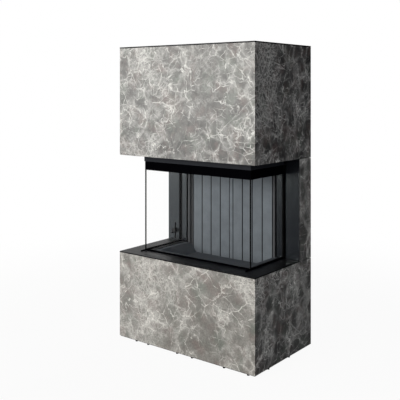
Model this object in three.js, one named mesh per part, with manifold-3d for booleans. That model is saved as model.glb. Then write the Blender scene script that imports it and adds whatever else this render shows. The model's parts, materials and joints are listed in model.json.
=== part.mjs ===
// Free-standing stone-clad fireplace, glazed on three sides, with a door that lifts into the upper block.
// Millimetres, +Z up. The front looks towards -Y. The origin is the middle of the footprint, on the floor.
// Inside the assembly group, y is the distance behind the front face, so every depth is a plain distance.

import * as THREE from "three";
import { ConvexGeometry } from "three/addons/geometries/ConvexGeometry.js";
import { ParametricGeometry } from "three/addons/geometries/ParametricGeometry.js";
import { mergeVertices } from "three/addons/utils/BufferGeometryUtils.js";
import Module from "manifold-3d";

const wasm = await Module();
wasm.setup();

// Overall sizes
const bodyWidth = 900;
const bodyDepth = 540;
const lowerBlockHeight = 462;
const openingHeight = 540;
const upperBlockHeight = 590;
const lidThickness = 6;

// Clearances
const fit = 0.3;
const slideGap = 1.5;
const overrun = 5;
const weldDistance = 0.001;

// Stone cladding
const slabThickness = 30;
const columnJoint = 2;

// Plinth and carrying frame
const footHeight = 8;
const footDiameter = 9;
const footSetback = 9;
const frontFootShares = [-0.365, -0.27, -0.045, 0.065, 0.29, 0.45];
const sideFootShares = [0.24, 0.6];
const rearFootShares = [-0.4, 0.4];
const plinthRailSetback = 4.5;
const plinthRailWidth = 32;
const plinthRailThickness = 3;
const trayThickness = 3;
const trayHeight = 40;
const postLeg = 30;
const postThickness = 3;
const standInset = 44.7;
const standFront = 140;
const standRearGap = 27;
const standFlange = 30;
const standSheet = 3;
const carrierWidth = 20;
const carrierHeight = 30;
const carrierThickness = 3;

// Hearth plate and door
const hearthThickness = 6;
const glassSideInset = 96.7;
const glassFrontInset = 105.3;
const glassThickness = 5;
const railLip = 1.5;
const railBackLip = 3;
const bottomRailHeight = 6;
const bottomGrooveDepth = 3.3;
const bandHeight = 48;
const railOverlap = 4;
const topGrooveDepth = 20;
const lugLength = 38;
const lugWidth = 6;
const lugHeight = 5;
const stileDepth = 24.7;
const stileGrooveDepth = 8;

// Trim frame below the upper block
const trimDrop = 38;
const trimThickness = 1.5;

// Columns beside the firebox
const columnDepth = 123;
const columnPanelGap = 13.2;
const columnSheet = 2;
const columnReturn = 20;
const slotWidth = 10;
const slotHeight = 93;
const slotRise = 9;
const slotSideInset = 52;
const cheekWidth = 32;
const cheekSheet = 2;
const airGap = 12.8;

// Fireclay lining
const liningSetback = 17;
const liningThickness = 28;
const liningDrop = 20;
const returnWidth = 25;
const returnRim = 11.3;
const stripWidth = 20;
const stripJoint = 1;
const staveCount = 4;
const grooveWidth = 7;
const grooveDepth = 7;
const hearthDrop = 57;
const floorSlabThickness = 30;
const borderRimEnd = 32;
const borderFlatEnd = 62;
const borderFootEnd = 103;
const baffleThickness = 25;
const baffleSideGap = 8;
const smokePassage = 80;

// Firebox shell, hood and flue
const panWall = 4;
const rimThickness = 3;
const backPlateThickness = 3;
const airPortMargin = 4;
const hoodGap = 2.2;
const hoodWall = 3;
const skirtHeight = 40;
const hoodBodyHeight = 110;
const hoodTaperHeight = 300;
const hoodNeckHalf = 110;
const hoodLipWidth = 14;
const hoodLipThickness = 6;
const flueRadius = 90;
const flueWall = 3;
const flueLidGap = 6;

// Combustion air
const ductHeight = 60;
const ductDepth = 66;
const chamberHalfWidth = 120;
const chamberHeight = 195;
const airBoxWall = 2;
const spigotRadius = 50;
const spigotRise = 70;
const airTravel = 40;
const gateWidth = 110;
const gateHeight = 100;
const gateThickness = 2;
const gateGap = 0.5;
const gateLug = 8;
const rodRadius = 4;
const rodSetback = 13;
const rodArmSlotGap = 2;
const stemReach = 6;
const knobRadius = 15;
const knobThickness = 10;
const handleRadius = 4;
const handleLength = 24;
const handleDrop = 10.5;

// Lift mechanism
const mechanismGap = 7.3;
const mechanismPlateThickness = 3;
const mechanismFlange = 22;
const mechanismRise = 4;
const mechanismDrop = 15;
const guideGap = 6;
const guideWidth = 11;
const guideDepth = 12;
const carriageDrop = 120;
const carriageGap = 27;
const carriageThickness = 8;
const plateReach = 4;
const clampReach = 2;
const shoeThickness = 5;
const shoeGap = 0.5;
const clampWidth = 12;
const clampBore = 3.1;
const cableRadius = 2.5;
const cableOffset = 29;
const pulleyPitchRadius = 25;
const pulleyRimRadius = 29;
const pulleyWidth = 12;
const pulleyGrooveTop = 8;
const shaftRadius = 7;
const shaftDrop = 52;
const bearingRadius = 14;
const bearingLength = 8;
const bearingGap = 0.3;
const idlerPinRadius = 6;
const pinEnd = 3;
const weightSideGap = 7;
const weightOuterGap = 4.7;
const weightFrontGap = 4;
const weightRearGap = 3.4;
const weightTopGap = 19;
const weightFootGap = 31;
const weightGrooveGap = 0.6;
const idlerRise = 64;
const doorStay = 70;

// Vents in the lid and the rear panel
const rearPanelThickness = 2;
const ventLength = 90;
const ventWidth = 8;
const ventPitch = 20;
const ventRows = 5;
const ventColumns = 4;
const ventColumnPitch = 150;
const ventMargin = 90;
const lidSlotLength = 200;
const lidSlotWidth = 10;
const lidSlotPitch = 24;
const lidSlotCount = 8;
const lidSlotStart = 140;

// Faces on a full round
const roundFaces = 32;
const screwFaces = 12;
const cableFaces = 8;

// Levels
const lowerTop = footHeight + lowerBlockHeight;
const openingTop = lowerTop + openingHeight;
const bodyTop = openingTop + upperBlockHeight;
const hearthTop = lowerTop + hearthThickness;
const doorBottom = hearthTop + fit;
const trimBottom = openingTop - trimDrop;
const bandBottom = trimBottom - bandHeight;
const doorTop = trimBottom + railOverlap;
const floorTop = hearthTop - hearthDrop;
const panTop = floorTop - floorSlabThickness - fit;
const panBottom = panTop - panWall;
const liningBottom = panTop + fit;
const liningTop = openingTop - liningDrop;
const trimTop = openingTop + fit + trimThickness;
const carrierBottom = trimTop + fit;
const trayTop = footHeight + fit + trayHeight;
const hoodBottom = liningTop + fit;
const hoodTaperBottom = hoodBottom + hoodBodyHeight;
const hoodTop = hoodTaperBottom + hoodTaperHeight;
const ductBottom = panBottom - fit - ductHeight;
const chamberBottom = ductBottom - chamberHeight;
const spigotLevel = chamberBottom + spigotRise;
const slotBottom = hearthTop + slotRise;
const knobLevel = slotBottom + slotHeight / 2;
const gateLevel = spigotLevel + airTravel;
const shaftLevel = bodyTop - shaftDrop;
const idlerLevel = hearthTop + idlerRise;
const idlerTop = idlerLevel + pulleyRimRadius;
const liftTravel = openingHeight - doorStay;
const weightTop = shaftLevel - pulleyRimRadius - weightTopGap;
const weightBottom = idlerTop + weightFootGap + liftTravel;
const carriageBottom = idlerTop + carriageGap;
const carriageTop = doorTop - carriageDrop;

// Places across the width, measured from the middle
const halfWidth = bodyWidth / 2;
const stoneInnerX = halfWidth - slabThickness;
const glassHalf = halfWidth - glassSideInset;
const railInnerOffset = glassThickness + railBackLip;
const hearthCutOffset = railInnerOffset + fit;
const panOffset = hearthCutOffset + fit;
const stileInnerX = glassHalf - railInnerOffset;
const panOuterX = glassHalf - panOffset;
const standOuterX = panOuterX - standInset;
const cheekOuterX = stileInnerX - slideGap;
const cheekInnerX = cheekOuterX - cheekWidth;
const returnOuterX = cheekInnerX - airGap;
const returnInnerX = returnOuterX - returnWidth;
const returnRimX = returnOuterX - returnRim;
const columnPanelInnerX = glassHalf + railLip + columnPanelGap;
const mechanismX = panOuterX + mechanismGap;
const guideX = mechanismX + mechanismPlateThickness;
const cableX = guideX + cableOffset;
const weightInnerX = guideX + weightSideGap;
const weightOuterX = stoneInnerX - fit - postThickness - weightOuterGap;
const controlX = halfWidth - slotSideInset;
const hoodX = stileInnerX - hoodGap;

// Places in depth, measured from the front face
const stoneInnerY = slabThickness;
const columnInset = bodyDepth - columnDepth;
const doorwayRearY = columnInset - fit;
const stileFrontY = columnInset + fit;
const stileRearY = stileFrontY + stileDepth;
const wallY = columnInset + liningSetback;
const backPlateY = wallY + liningThickness + fit;
const backPlateRearY = backPlateY + backPlateThickness;
const rearPanelY = bodyDepth - rearPanelThickness - fit;
const postRearY = rearPanelY - fit;
const carriageRearY = stileRearY + carriageThickness;
const guideY = carriageRearY + guideGap;
const liftRunY = guideY + guideDepth / 2;
const shaftY = liftRunY + pulleyPitchRadius;
const weightRunY = shaftY + pulleyPitchRadius;
const clampRearY = guideY + guideDepth + clampReach;
const weightFrontY = clampRearY + weightFrontGap;
const weightRearY = postRearY - postThickness - weightRearGap;
const rodY = columnInset + rodSetback;
const hoodFrontY = glassFrontInset + railInnerOffset + hoodGap;
const flueY = (hoodFrontY + backPlateRearY) / 2;

// Materials
function finish(color, roughness, metalness, extra = {}) {
  return new THREE.MeshStandardMaterial({ color, roughness, metalness, ...extra });
}

const stone = finish(0x8c8782, 0.45, 0);
const blackSteel = finish(0x17181b, 0.4, 0.4);
const greySteel = finish(0x33363b, 0.45, 0.4);
const bareSteel = finish(0x8b8e92, 0.4, 0.9);
const castIron = finish(0x2b2c2e, 0.7, 0.5);
const fireclay = finish(0x6d7174, 0.85, 0);
const vermiculite = finish(0xa59a84, 0.95, 0);
const clearGlass = finish(0xdfe9e8, 0.05, 0, { transparent: true, opacity: 0.2 });
const darkSealant = finish(0x0c0d0e, 0.6, 0);
const blackKnob = finish(0x0f1012, 0.5, 0.3);

// Solids from three.js geometries
function toSolid(geometry) {
  const bare = geometry.index ? geometry.toNonIndexed() : geometry.clone();
  bare.deleteAttribute("normal");
  bare.deleteAttribute("uv");
  const merged = mergeVertices(bare, weldDistance);
  const corners = merged.index.array;
  const triangles = [];
  for (let i = 0; i < corners.length; i += 3) {
    const [a, b, c] = [corners[i], corners[i + 1], corners[i + 2]];
    if (a !== b && b !== c && c !== a) triangles.push(a, b, c);
  }
  const vertProperties = new Float32Array(merged.attributes.position.array);
  const triVerts = new Uint32Array(triangles);
  return new wasm.Manifold(new wasm.Mesh({ numProp: 3, vertProperties, triVerts }));
}

function box([x0, x1], [y0, y1], [z0, z1]) {
  const geometry = new THREE.BoxGeometry(Math.abs(x1 - x0), Math.abs(y1 - y0), Math.abs(z1 - z0));
  geometry.translate((x0 + x1) / 2, (y0 + y1) / 2, (z0 + z1) / 2);
  return toSolid(geometry);
}

function outlineShape(points) {
  return new THREE.Shape(points.map(([u, v]) => new THREE.Vector2(u, v)));
}

function extrude(points, depth) {
  return new THREE.ExtrudeGeometry(outlineShape(points), { depth, bevelEnabled: false });
}

// A plan outline in x and y, raised from one level to another
function upright(points, [low, high]) {
  return toSolid(extrude(points, high - low).translate(0, 0, low));
}

// A side outline in y and z, drawn out along x
function alongX(points, [x0, x1]) {
  const turn = new THREE.Matrix4().makeBasis(
    new THREE.Vector3(0, 1, 0),
    new THREE.Vector3(0, 0, 1),
    new THREE.Vector3(1, 0, 0),
  );
  return toSolid(extrude(points, x1 - x0).applyMatrix4(turn).translate(x0, 0, 0));
}

// A front outline in x and z, drawn out along y
function alongY(points, [y0, y1]) {
  const turn = new THREE.Matrix4().makeRotationX(Math.PI / 2);
  return toSolid(extrude(points, y1 - y0).applyMatrix4(turn).translate(0, y1, 0));
}

const quarterTurns = { x: ["rotateZ", -Math.PI / 2], y: ["rotateY", 0], z: ["rotateX", Math.PI / 2] };

function turned(geometry, axis, [x, y, z]) {
  const [turn, angle] = quarterTurns[axis];
  return toSolid(geometry[turn](angle).translate(x, y, z));
}

// A round bar whose middle is at the given place
function bar(radius, length, axis, centre, faces = roundFaces) {
  return turned(new THREE.CylinderGeometry(radius, radius, length, faces), axis, centre);
}

function joined(solids) {
  return solids.reduce((whole, next) => whole.add(next));
}

function cut(solid, cutters) {
  return cutters.reduce((rest, next) => rest.subtract(next), solid);
}

// A tapered block between two level rectangles, each given as x range, y range and level
function taper(lower, upper) {
  const points = [];
  for (const [[x0, x1], [y0, y1], z] of [lower, upper]) {
    points.push(new THREE.Vector3(x0, y0, z), new THREE.Vector3(x1, y0, z));
    points.push(new THREE.Vector3(x0, y1, z), new THREE.Vector3(x1, y1, z));
  }
  return toSolid(new ConvexGeometry(points));
}

// A range across the width, on the left for side -1 and on the right for side 1
function across(side, inner, outer) {
  return side < 0 ? [-outer, -inner] : [inner, outer];
}

// Plan outline of a band that follows the three glass panes, between two offsets inside their outer faces
function glassBand(outerOffset, innerOffset, rearY) {
  const outerX = glassHalf - outerOffset;
  const innerX = glassHalf - innerOffset;
  const outerY = glassFrontInset + outerOffset;
  const innerY = glassFrontInset + innerOffset;
  return [
    [-outerX, rearY], [-outerX, outerY], [outerX, outerY], [outerX, rearY],
    [innerX, rearY], [innerX, innerY], [-innerX, innerY], [-innerX, rearY],
  ];
}

// Scene graph
const stove = new THREE.Group();
const assembly = new THREE.Group();
assembly.position.y = -bodyDepth / 2;
stove.add(assembly);

function subGroup(x = 0, y = 0, z = 0) {
  const group = new THREE.Group();
  group.position.set(x, y, z);
  assembly.add(group);
  return group;
}

function place(group, name, solid, material, [x, y, z] = [0, 0, 0]) {
  const { vertProperties, triVerts } = solid.getMesh();
  const geometry = new THREE.BufferGeometry();
  geometry.setAttribute("position", new THREE.BufferAttribute(vertProperties, 3));
  geometry.setIndex(new THREE.BufferAttribute(triVerts, 1));
  geometry.computeVertexNormals();
  const mesh = new THREE.Mesh(geometry, material);
  mesh.name = name;
  mesh.position.set(x, y, z);
  group.add(mesh);
}

const sides = [["left", -1], ["right", 1]];

// Plinth rails with their levelling screws
function plinthRail(xRange, yRange, feet) {
  const railTop = footHeight - fit;
  const rail = box(xRange, yRange, [railTop - plinthRailThickness, railTop]);
  const footLength = railTop - plinthRailThickness / 2;
  const screws = feet.map(([x, y]) => {
    const centre = [x, y, footLength / 2];
    return bar(footDiameter / 2, footLength, "z", centre, screwFaces);
  });
  return joined([rail, ...screws]);
}

function buildPlinth() {
  const group = subGroup();
  const outerX = halfWidth - plinthRailSetback;
  const frontRailEnd = plinthRailSetback + plinthRailWidth;
  const rearRailStart = bodyDepth - frontRailEnd;
  const frontFeet = frontFootShares.map((share) => [share * bodyWidth, footSetback]);
  const rearFeet = rearFootShares.map((share) => [share * bodyWidth, bodyDepth - footSetback]);
  const railSpan = [-outerX, outerX];
  const frontRail = plinthRail(railSpan, [plinthRailSetback, frontRailEnd], frontFeet);
  const rearRail = plinthRail(railSpan, [rearRailStart, bodyDepth - plinthRailSetback], rearFeet);
  place(group, "front_plinth_rail", frontRail, blackSteel);
  place(group, "rear_plinth_rail", rearRail, blackSteel);
  for (const [label, side] of sides) {
    const feet = sideFootShares.map((share) => [side * (halfWidth - footSetback), share * bodyDepth]);
    const xRange = across(side, outerX - plinthRailWidth, outerX);
    const rail = plinthRail(xRange, [frontRailEnd + fit, rearRailStart - fit], feet);
    place(group, `${label}_plinth_rail`, rail, blackSteel);
  }
}

// Folded base tray inside the lower slabs
function baseTray() {
  const outerX = stoneInnerX - fit;
  const [frontY, rearY] = [stoneInnerY + fit, rearPanelY - fit];
  const bottom = footHeight + fit;
  const outside = box([-outerX, outerX], [frontY, rearY], [bottom, trayTop]);
  const insideX = outerX - trayThickness;
  const inside = box(
    [-insideX, insideX],
    [frontY + trayThickness, rearY - trayThickness],
    [bottom + trayThickness, trayTop + overrun],
  );
  return outside.subtract(inside);
}

// Channel-shaped panel that carries the firebox
function standPanel(side) {
  const web = standOuterX - standSheet;
  const flangeEnd = standOuterX - standFlange;
  const rearY = columnInset - standRearGap;
  const outline = [
    [side * standOuterX, standFront], [side * standOuterX, rearY], [side * flangeEnd, rearY],
    [side * flangeEnd, rearY - standSheet], [side * web, rearY - standSheet],
    [side * web, standFront + standSheet], [side * flangeEnd, standFront + standSheet],
    [side * flangeEnd, standFront],
  ];
  return upright(outline, [footHeight + trayThickness + fit + fit, panBottom - fit]);
}

// Angle post in the rear corner, standing on the tray's rim
function post(side) {
  const outer = stoneInnerX - fit;
  const outline = [
    [side * outer, postRearY], [side * outer, postRearY - postLeg],
    [side * (outer - postThickness), postRearY - postLeg],
    [side * (outer - postThickness), postRearY - postThickness],
    [side * (outer - postLeg), postRearY - postThickness], [side * (outer - postLeg), postRearY],
  ];
  return upright(outline, [trayTop + fit, bodyTop - fit]);
}

// Angle that carries the upper slabs, round the front and both sides
function upperCarrier() {
  const outerX = stoneInnerX - fit;
  const frontY = stoneInnerY + fit;
  const rearY = weightFrontY - slideGap;
  const bottom = carrierBottom;
  const top = bottom + carrierHeight;
  const block = box([-outerX, outerX], [frontY, rearY], [bottom, top]);
  const insideX = outerX - carrierWidth;
  const middle = box(
    [-insideX, insideX],
    [frontY + carrierWidth, rearY + overrun],
    [bottom - overrun, top + overrun],
  );
  const legX = outerX - carrierThickness;
  const aboveFlange = box(
    [-legX, legX],
    [frontY + carrierThickness, rearY + overrun],
    [bottom + carrierThickness, top + overrun],
  );
  return cut(block, [middle, aboveFlange]);
}

function buildFrame() {
  const group = subGroup();
  place(group, "base_tray", baseTray(), blackSteel);
  place(group, "upper_carrier", upperCarrier(), blackSteel);
  for (const [label, side] of sides) {
    place(group, `${label}_stand_panel`, standPanel(side), blackSteel);
    place(group, `${label}_post`, post(side), blackSteel);
  }
}

// Stone slabs, mitred at the front corners, with their lower edge at the group's level
function frontSlab(height) {
  const outline = [
    [-halfWidth + fit, 0], [halfWidth - fit, 0],
    [stoneInnerX - fit, slabThickness], [-stoneInnerX + fit, slabThickness],
  ];
  return upright(outline, [0, height - fit]);
}

function sideSlab(side, height) {
  const outline = [
    [side * halfWidth, fit], [side * halfWidth, bodyDepth],
    [side * stoneInnerX, bodyDepth], [side * stoneInnerX, slabThickness + fit],
  ];
  return upright(outline, [0, height - fit]);
}

function buildBlock(label, level, height) {
  const group = subGroup(0, 0, level);
  place(group, `${label}_front_slab`, frontSlab(height), stone);
  for (const [sideLabel, side] of sides) {
    place(group, `${label}_${sideLabel}_slab`, sideSlab(side, height), stone);
  }
}

function columnSlab(side) {
  const yRange = [columnInset + columnSheet + fit, bodyDepth];
  const zRange = [lowerTop + columnJoint, openingTop - columnJoint];
  return box(across(side, stoneInnerX, halfWidth), yRange, zRange);
}

// Black ledge on the lower block, cut out for the firebox
function hearthPlate() {
  const rearY = columnInset + columnSheet;
  const plate = box([-halfWidth, halfWidth], [0, rearY], [lowerTop, hearthTop]);
  const cutX = glassHalf - hearthCutOffset;
  const cutY = glassFrontInset + hearthCutOffset;
  const cutOut = box([-cutX, cutX], [cutY, rearY + overrun], [lowerTop - overrun, hearthTop + overrun]);
  return plate.subtract(cutOut);
}

// Sheet over the front of a column, folded back along the door's slot
function columnPanel(side) {
  const frontY = columnInset;
  const faceRearY = columnInset + columnSheet;
  const returnX = columnPanelInnerX + columnSheet;
  const outline = [
    [side * halfWidth, frontY], [side * halfWidth, faceRearY], [side * returnX, faceRearY],
    [side * returnX, faceRearY + columnReturn], [side * columnPanelInnerX, faceRearY + columnReturn],
    [side * columnPanelInnerX, frontY],
  ];
  const panel = upright(outline, [hearthTop + fit, openingTop - fit]);
  if (side > 0) return panel;
  const slot = box(
    [-controlX - slotWidth / 2, -controlX + slotWidth / 2],
    [frontY - overrun, faceRearY + overrun],
    [slotBottom, slotBottom + slotHeight],
  );
  return panel.subtract(slot);
}

// Channel beside the door's slot that brings air to the glass
function cheekPanel(side) {
  const rearY = backPlateY - fit;
  const faceRearY = columnInset + cheekSheet;
  const foldInnerX = cheekInnerX + cheekSheet;
  const foldOuterX = cheekOuterX - cheekSheet;
  const outline = [
    [side * cheekOuterX, rearY], [side * cheekOuterX, columnInset],
    [side * cheekInnerX, columnInset], [side * cheekInnerX, rearY],
    [side * foldInnerX, rearY], [side * foldInnerX, faceRearY],
    [side * foldOuterX, faceRearY], [side * foldOuterX, rearY],
  ];
  return upright(outline, [hearthTop + fit, liningTop]);
}

// Folded trim below the upper block: a visible face and a flange that closes the underside
function trimFrame() {
  const innerOffset = -railLip - slideGap;
  const plan = glassBand(innerOffset - trimThickness, innerOffset, doorwayRearY);
  const face = upright(plan, [trimBottom, trimTop]);
  const outerX = stoneInnerX - fit;
  const flangeY = [stoneInnerY + fit, doorwayRearY];
  const flange = box([-outerX, outerX], flangeY, [trimTop - trimThickness, trimTop]);
  const insideX = glassHalf - innerOffset;
  const opening = box(
    [-insideX, insideX],
    [glassFrontInset + innerOffset, doorwayRearY + overrun],
    [trimBottom, trimTop + overrun],
  );
  return joined([face, flange.subtract(opening)]);
}

function buildSheetMetal() {
  const group = subGroup();
  place(group, "hearth_plate", hearthPlate(), blackSteel);
  place(group, "trim_frame", trimFrame(), greySteel);
  for (const [label, side] of sides) {
    place(group, `${label}_column_slab`, columnSlab(side), stone);
    place(group, `${label}_column_panel`, columnPanel(side), greySteel);
    place(group, `${label}_cheek_panel`, cheekPanel(side), greySteel);
  }
}

// Thin lid with a hole for the flue and a row of convection slots on each side
function topLid() {
  const zCut = [-overrun, lidThickness + overrun];
  const lid = box([-halfWidth, halfWidth], [0, bodyDepth], [0, lidThickness]);
  const flueHole = bar(flueRadius + flueLidGap, lidThickness + overrun, "z", [0, flueY, lidThickness / 2]);
  const slots = [];
  for (let i = 0; i < lidSlotCount; i += 1) {
    for (const [, side] of sides) {
      const x = lidSlotStart + i * lidSlotPitch;
      const yRange = [flueY - lidSlotLength / 2, flueY + lidSlotLength / 2];
      slots.push(box(across(side, x, x + lidSlotWidth), yRange, zCut));
    }
  }
  return cut(lid, [flueHole, ...slots]);
}

// Rear panel between the side slabs, with a field of vents near the bottom and one near the top
function rearPanel() {
  const outerX = stoneInnerX - fit;
  const yRange = [rearPanelY, rearPanelY + rearPanelThickness];
  const yCut = [rearPanelY - overrun, bodyDepth + overrun];
  const [bottom, top] = [footHeight + fit, bodyTop - fit];
  const panel = box([-outerX, outerX], yRange, [bottom, top]);
  const spigotHoleCentre = [0, rearPanelY + rearPanelThickness / 2, spigotLevel];
  const spigotHole = bar(spigotRadius + fit, rearPanelThickness + overrun, "y", spigotHoleCentre);
  const firstX = (-(ventColumns - 1) * ventColumnPitch - ventLength) / 2;
  const vents = [];
  for (const [start, direction] of [[bottom + ventMargin / 2, 1], [top - ventMargin / 2 - ventWidth, -1]]) {
    for (let row = 0; row < ventRows; row += 1) {
      for (let column = 0; column < ventColumns; column += 1) {
        const x = firstX + column * ventColumnPitch;
        const z = start + direction * row * ventPitch;
        vents.push(box([x, x + ventLength], yCut, [z, z + ventWidth]));
      }
    }
  }
  return cut(panel, [spigotHole, ...vents]);
}

// Firebox shell: a rimmed pan, open to the rear, with a notch in each rear corner for the pane air
function fireboxShell() {
  const outerX = panOuterX;
  const rearY = backPlateY - fit;
  const frontY = glassFrontInset + panOffset;
  const insideX = outerX - panWall;
  const rimX = glassHalf - borderRimEnd;
  const pan = box([-outerX, outerX], [frontY, rearY], [panBottom, hearthTop]);
  const rimUnderside = hearthTop - rimThickness;
  const cutEndY = rearY + overrun;
  const pocket = box([-insideX, insideX], [frontY + panWall, cutEndY], [panTop, rimUnderside]);
  const mouthRange = [panTop, hearthTop + overrun];
  const mouth = box([-rimX, rimX], [glassFrontInset + borderRimEnd, cutEndY], mouthRange);
  const rearMouth = box([-insideX, insideX], [columnInset, cutEndY], mouthRange);
  const ports = sides.map(([, side]) => box(
    across(side, returnOuterX + airPortMargin, insideX),
    [columnInset + airPortMargin, cutEndY],
    [panBottom - overrun, panTop + overrun],
  ));
  return cut(pan, [pocket, mouth, rearMouth, ...ports]);
}

// Back plate behind the lining
function fireboxBack() {
  return box([-panOuterX, panOuterX], [backPlateY, backPlateRearY], [panBottom, liningTop]);
}

// V-shaped groove down the face of the lining
function liningGroove(x) {
  const outline = [
    [x - grooveWidth / 2, wallY], [x, wallY + grooveDepth], [x + grooveWidth / 2, wallY],
    [x, wallY - grooveDepth],
  ];
  return upright(outline, [liningBottom - overrun, liningTop + overrun]);
}

// Ribbed fireclay board on one side of the centre strip
function liningBoard(side) {
  const innerX = stripWidth / 2 + stripJoint;
  const outerX = returnInnerX - fit;
  const staveWidth = (outerX - innerX) / staveCount;
  const yRange = [wallY, wallY + liningThickness];
  const board = box(across(side, innerX, outerX), yRange, [liningBottom, liningTop]);
  const grooves = [];
  for (let i = 0; i <= staveCount; i += 1) {
    grooves.push(liningGroove(side * (innerX + i * staveWidth)));
  }
  return cut(board, grooves);
}

function liningStrip() {
  const halfStrip = stripWidth / 2;
  return box([-halfStrip, halfStrip], [wallY, wallY + liningThickness], [liningBottom, liningTop]);
}

// Corner piece beside the back lining, with a rim that stands forward at the cheek
function liningReturn(side) {
  const rearY = wallY + liningThickness;
  const outline = [
    [side * returnOuterX, columnInset], [side * returnRimX, columnInset],
    [side * returnRimX, wallY], [side * returnInnerX, wallY],
    [side * returnInnerX, rearY], [side * returnOuterX, rearY],
  ];
  return upright(outline, [liningBottom, liningTop]).subtract(liningGroove(side * returnInnerX));
}

// Cross-section of the border stones: offset inside the glass, and level
function borderOutline(toPlace) {
  const start = panOffset + panWall + fit;
  const flatLevel = hearthTop - rimThickness - fit;
  return [
    [toPlace(start), liningBottom], [toPlace(start), flatLevel],
    [toPlace(borderFlatEnd), flatLevel], [toPlace(borderFootEnd), floorTop],
    [toPlace(borderFootEnd), liningBottom],
  ];
}

// Plan wedge that leaves the front border between its two mitres
function frontMitre() {
  const cornerX = glassHalf - fit;
  const reach = glassFrontInset + cornerX;
  return upright([[-cornerX, glassFrontInset], [cornerX, glassFrontInset], [0, reach]], [0, hearthTop]);
}

function frontBorder() {
  const outline = borderOutline((offset) => glassFrontInset + offset);
  return alongX(outline, [-glassHalf, glassHalf]).intersect(frontMitre());
}

function sideBorder(side) {
  const outline = borderOutline((offset) => side * (glassHalf - offset));
  const whole = alongY(outline, [glassFrontInset, wallY - fit]);
  const mitreFront = glassFrontInset + fit;
  const reach = borderFootEnd + overrun;
  const mitreCorners = [
    [side * glassHalf, mitreFront], [side * glassHalf, wallY],
    [side * (glassHalf - reach), wallY], [side * (glassHalf - reach), mitreFront + reach],
  ];
  const mitre = upright(mitreCorners, [0, hearthTop]);
  const besideReturn = box(
    across(side, returnRimX - fit, glassHalf),
    [doorwayRearY, wallY + overrun],
    [0, hearthTop],
  );
  return whole.intersect(mitre).subtract(besideReturn);
}

function floorSlab() {
  const outerX = glassHalf - borderFootEnd - fit;
  const yRange = [glassFrontInset + borderFootEnd + fit, wallY - fit];
  return box([-outerX, outerX], yRange, [liningBottom, floorTop]);
}

// Smoke hood inside the lifted door, with its flue collar
function hoodShell(inset, bottom) {
  const xRange = [-hoodX + inset, hoodX - inset];
  const yRange = [hoodFrontY + inset, backPlateRearY - inset];
  const neckX = [-hoodNeckHalf + inset, hoodNeckHalf - inset];
  const neckY = [flueY - hoodNeckHalf + inset, flueY + hoodNeckHalf - inset];
  const body = box(xRange, yRange, [bottom, hoodTaperBottom]);
  const cone = taper([xRange, yRange, hoodTaperBottom], [neckX, neckY, hoodTop - inset]);
  return joined([body, cone]);
}

function smokeHood() {
  const shell = hoodShell(0, hoodBottom).subtract(hoodShell(hoodWall, hoodBottom - overrun));
  const skirtOuter = railInnerOffset + hoodGap;
  const skirtRange = [hoodBottom - skirtHeight, hoodBottom + hoodWall];
  const skirt = upright(glassBand(skirtOuter, skirtOuter + hoodWall, doorwayRearY), skirtRange);
  const lipOuterX = hoodX - hoodWall / 2;
  const lips = sides.map(([, side]) => box(
    across(side, hoodX - hoodWall - hoodLipWidth, lipOuterX),
    [hoodFrontY + smokePassage, doorwayRearY],
    [hoodBottom - hoodLipThickness, hoodBottom],
  ));
  const collarTop = bodyTop + lidThickness;
  const collarHeight = collarTop - hoodTop + hoodWall;
  const collarCentre = [0, flueY, collarTop - collarHeight / 2];
  const collar = bar(flueRadius, collarHeight, "z", collarCentre);
  const bore = bar(flueRadius - flueWall, collarHeight + overrun, "z", collarCentre);
  return joined([shell, skirt, ...lips, collar]).subtract(bore);
}

function bafflePlate() {
  const outerX = hoodX - hoodWall - baffleSideGap;
  const yRange = [hoodFrontY + smokePassage, backPlateRearY - hoodWall - fit];
  return box([-outerX, outerX], yRange, [hoodBottom, hoodBottom + baffleThickness]);
}

// Air box below the pan: a wide duct to both air ports, and a chamber with the inlet spigot
function airBoxBody(wall) {
  const ductX = panOuterX - panWall - wall;
  const chamberX = chamberHalfWidth - wall;
  const yRange = [backPlateRearY - ductDepth + wall, backPlateRearY - wall];
  const ductTop = panBottom - fit;
  const duct = box([-ductX, ductX], yRange, [ductBottom + wall, ductTop + wall]);
  const chamber = box([-chamberX, chamberX], yRange, [chamberBottom + wall, ductTop]);
  return joined([duct, chamber]);
}

function airBox() {
  const rearY = backPlateRearY;
  const shell = airBoxBody(0).subtract(airBoxBody(airBoxWall));
  const spigotRear = rearPanelY + rearPanelThickness;
  const spigotLength = spigotRear - rearY + airBoxWall;
  const spigotCentre = [0, spigotRear - spigotLength / 2, spigotLevel];
  const spigot = bar(spigotRadius, spigotLength, "y", spigotCentre);
  const bore = bar(spigotRadius - airBoxWall, spigotLength + overrun, "y", spigotCentre);
  const armSlot = box(
    [-chamberHalfWidth - overrun, -chamberHalfWidth + airBoxWall + overrun],
    [rodY - rodRadius - rodArmSlotGap, rodY + rodRadius + rodArmSlotGap],
    [gateLevel - airTravel - rodRadius - rodArmSlotGap, gateLevel + airTravel + rodRadius + rodArmSlotGap],
  );
  return cut(joined([shell, spigot]), [bore, armSlot]);
}

function buildFirebox() {
  const group = subGroup();
  place(group, "firebox_shell", fireboxShell(), blackSteel);
  place(group, "firebox_back", fireboxBack(), blackSteel);
  place(group, "lining_strip", liningStrip(), fireclay);
  place(group, "front_border", frontBorder(), fireclay);
  place(group, "floor_slab", floorSlab(), fireclay);
  place(group, "baffle_plate", bafflePlate(), vermiculite);
  place(group, "smoke_hood", smokeHood(), blackSteel);
  place(group, "air_box", airBox(), blackSteel);
  for (const [label, side] of sides) {
    place(group, `${label}_lining_board`, liningBoard(side), fireclay);
    place(group, `${label}_lining_return`, liningReturn(side), fireclay);
    place(group, `${label}_border`, sideBorder(side), fireclay);
  }
}

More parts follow.
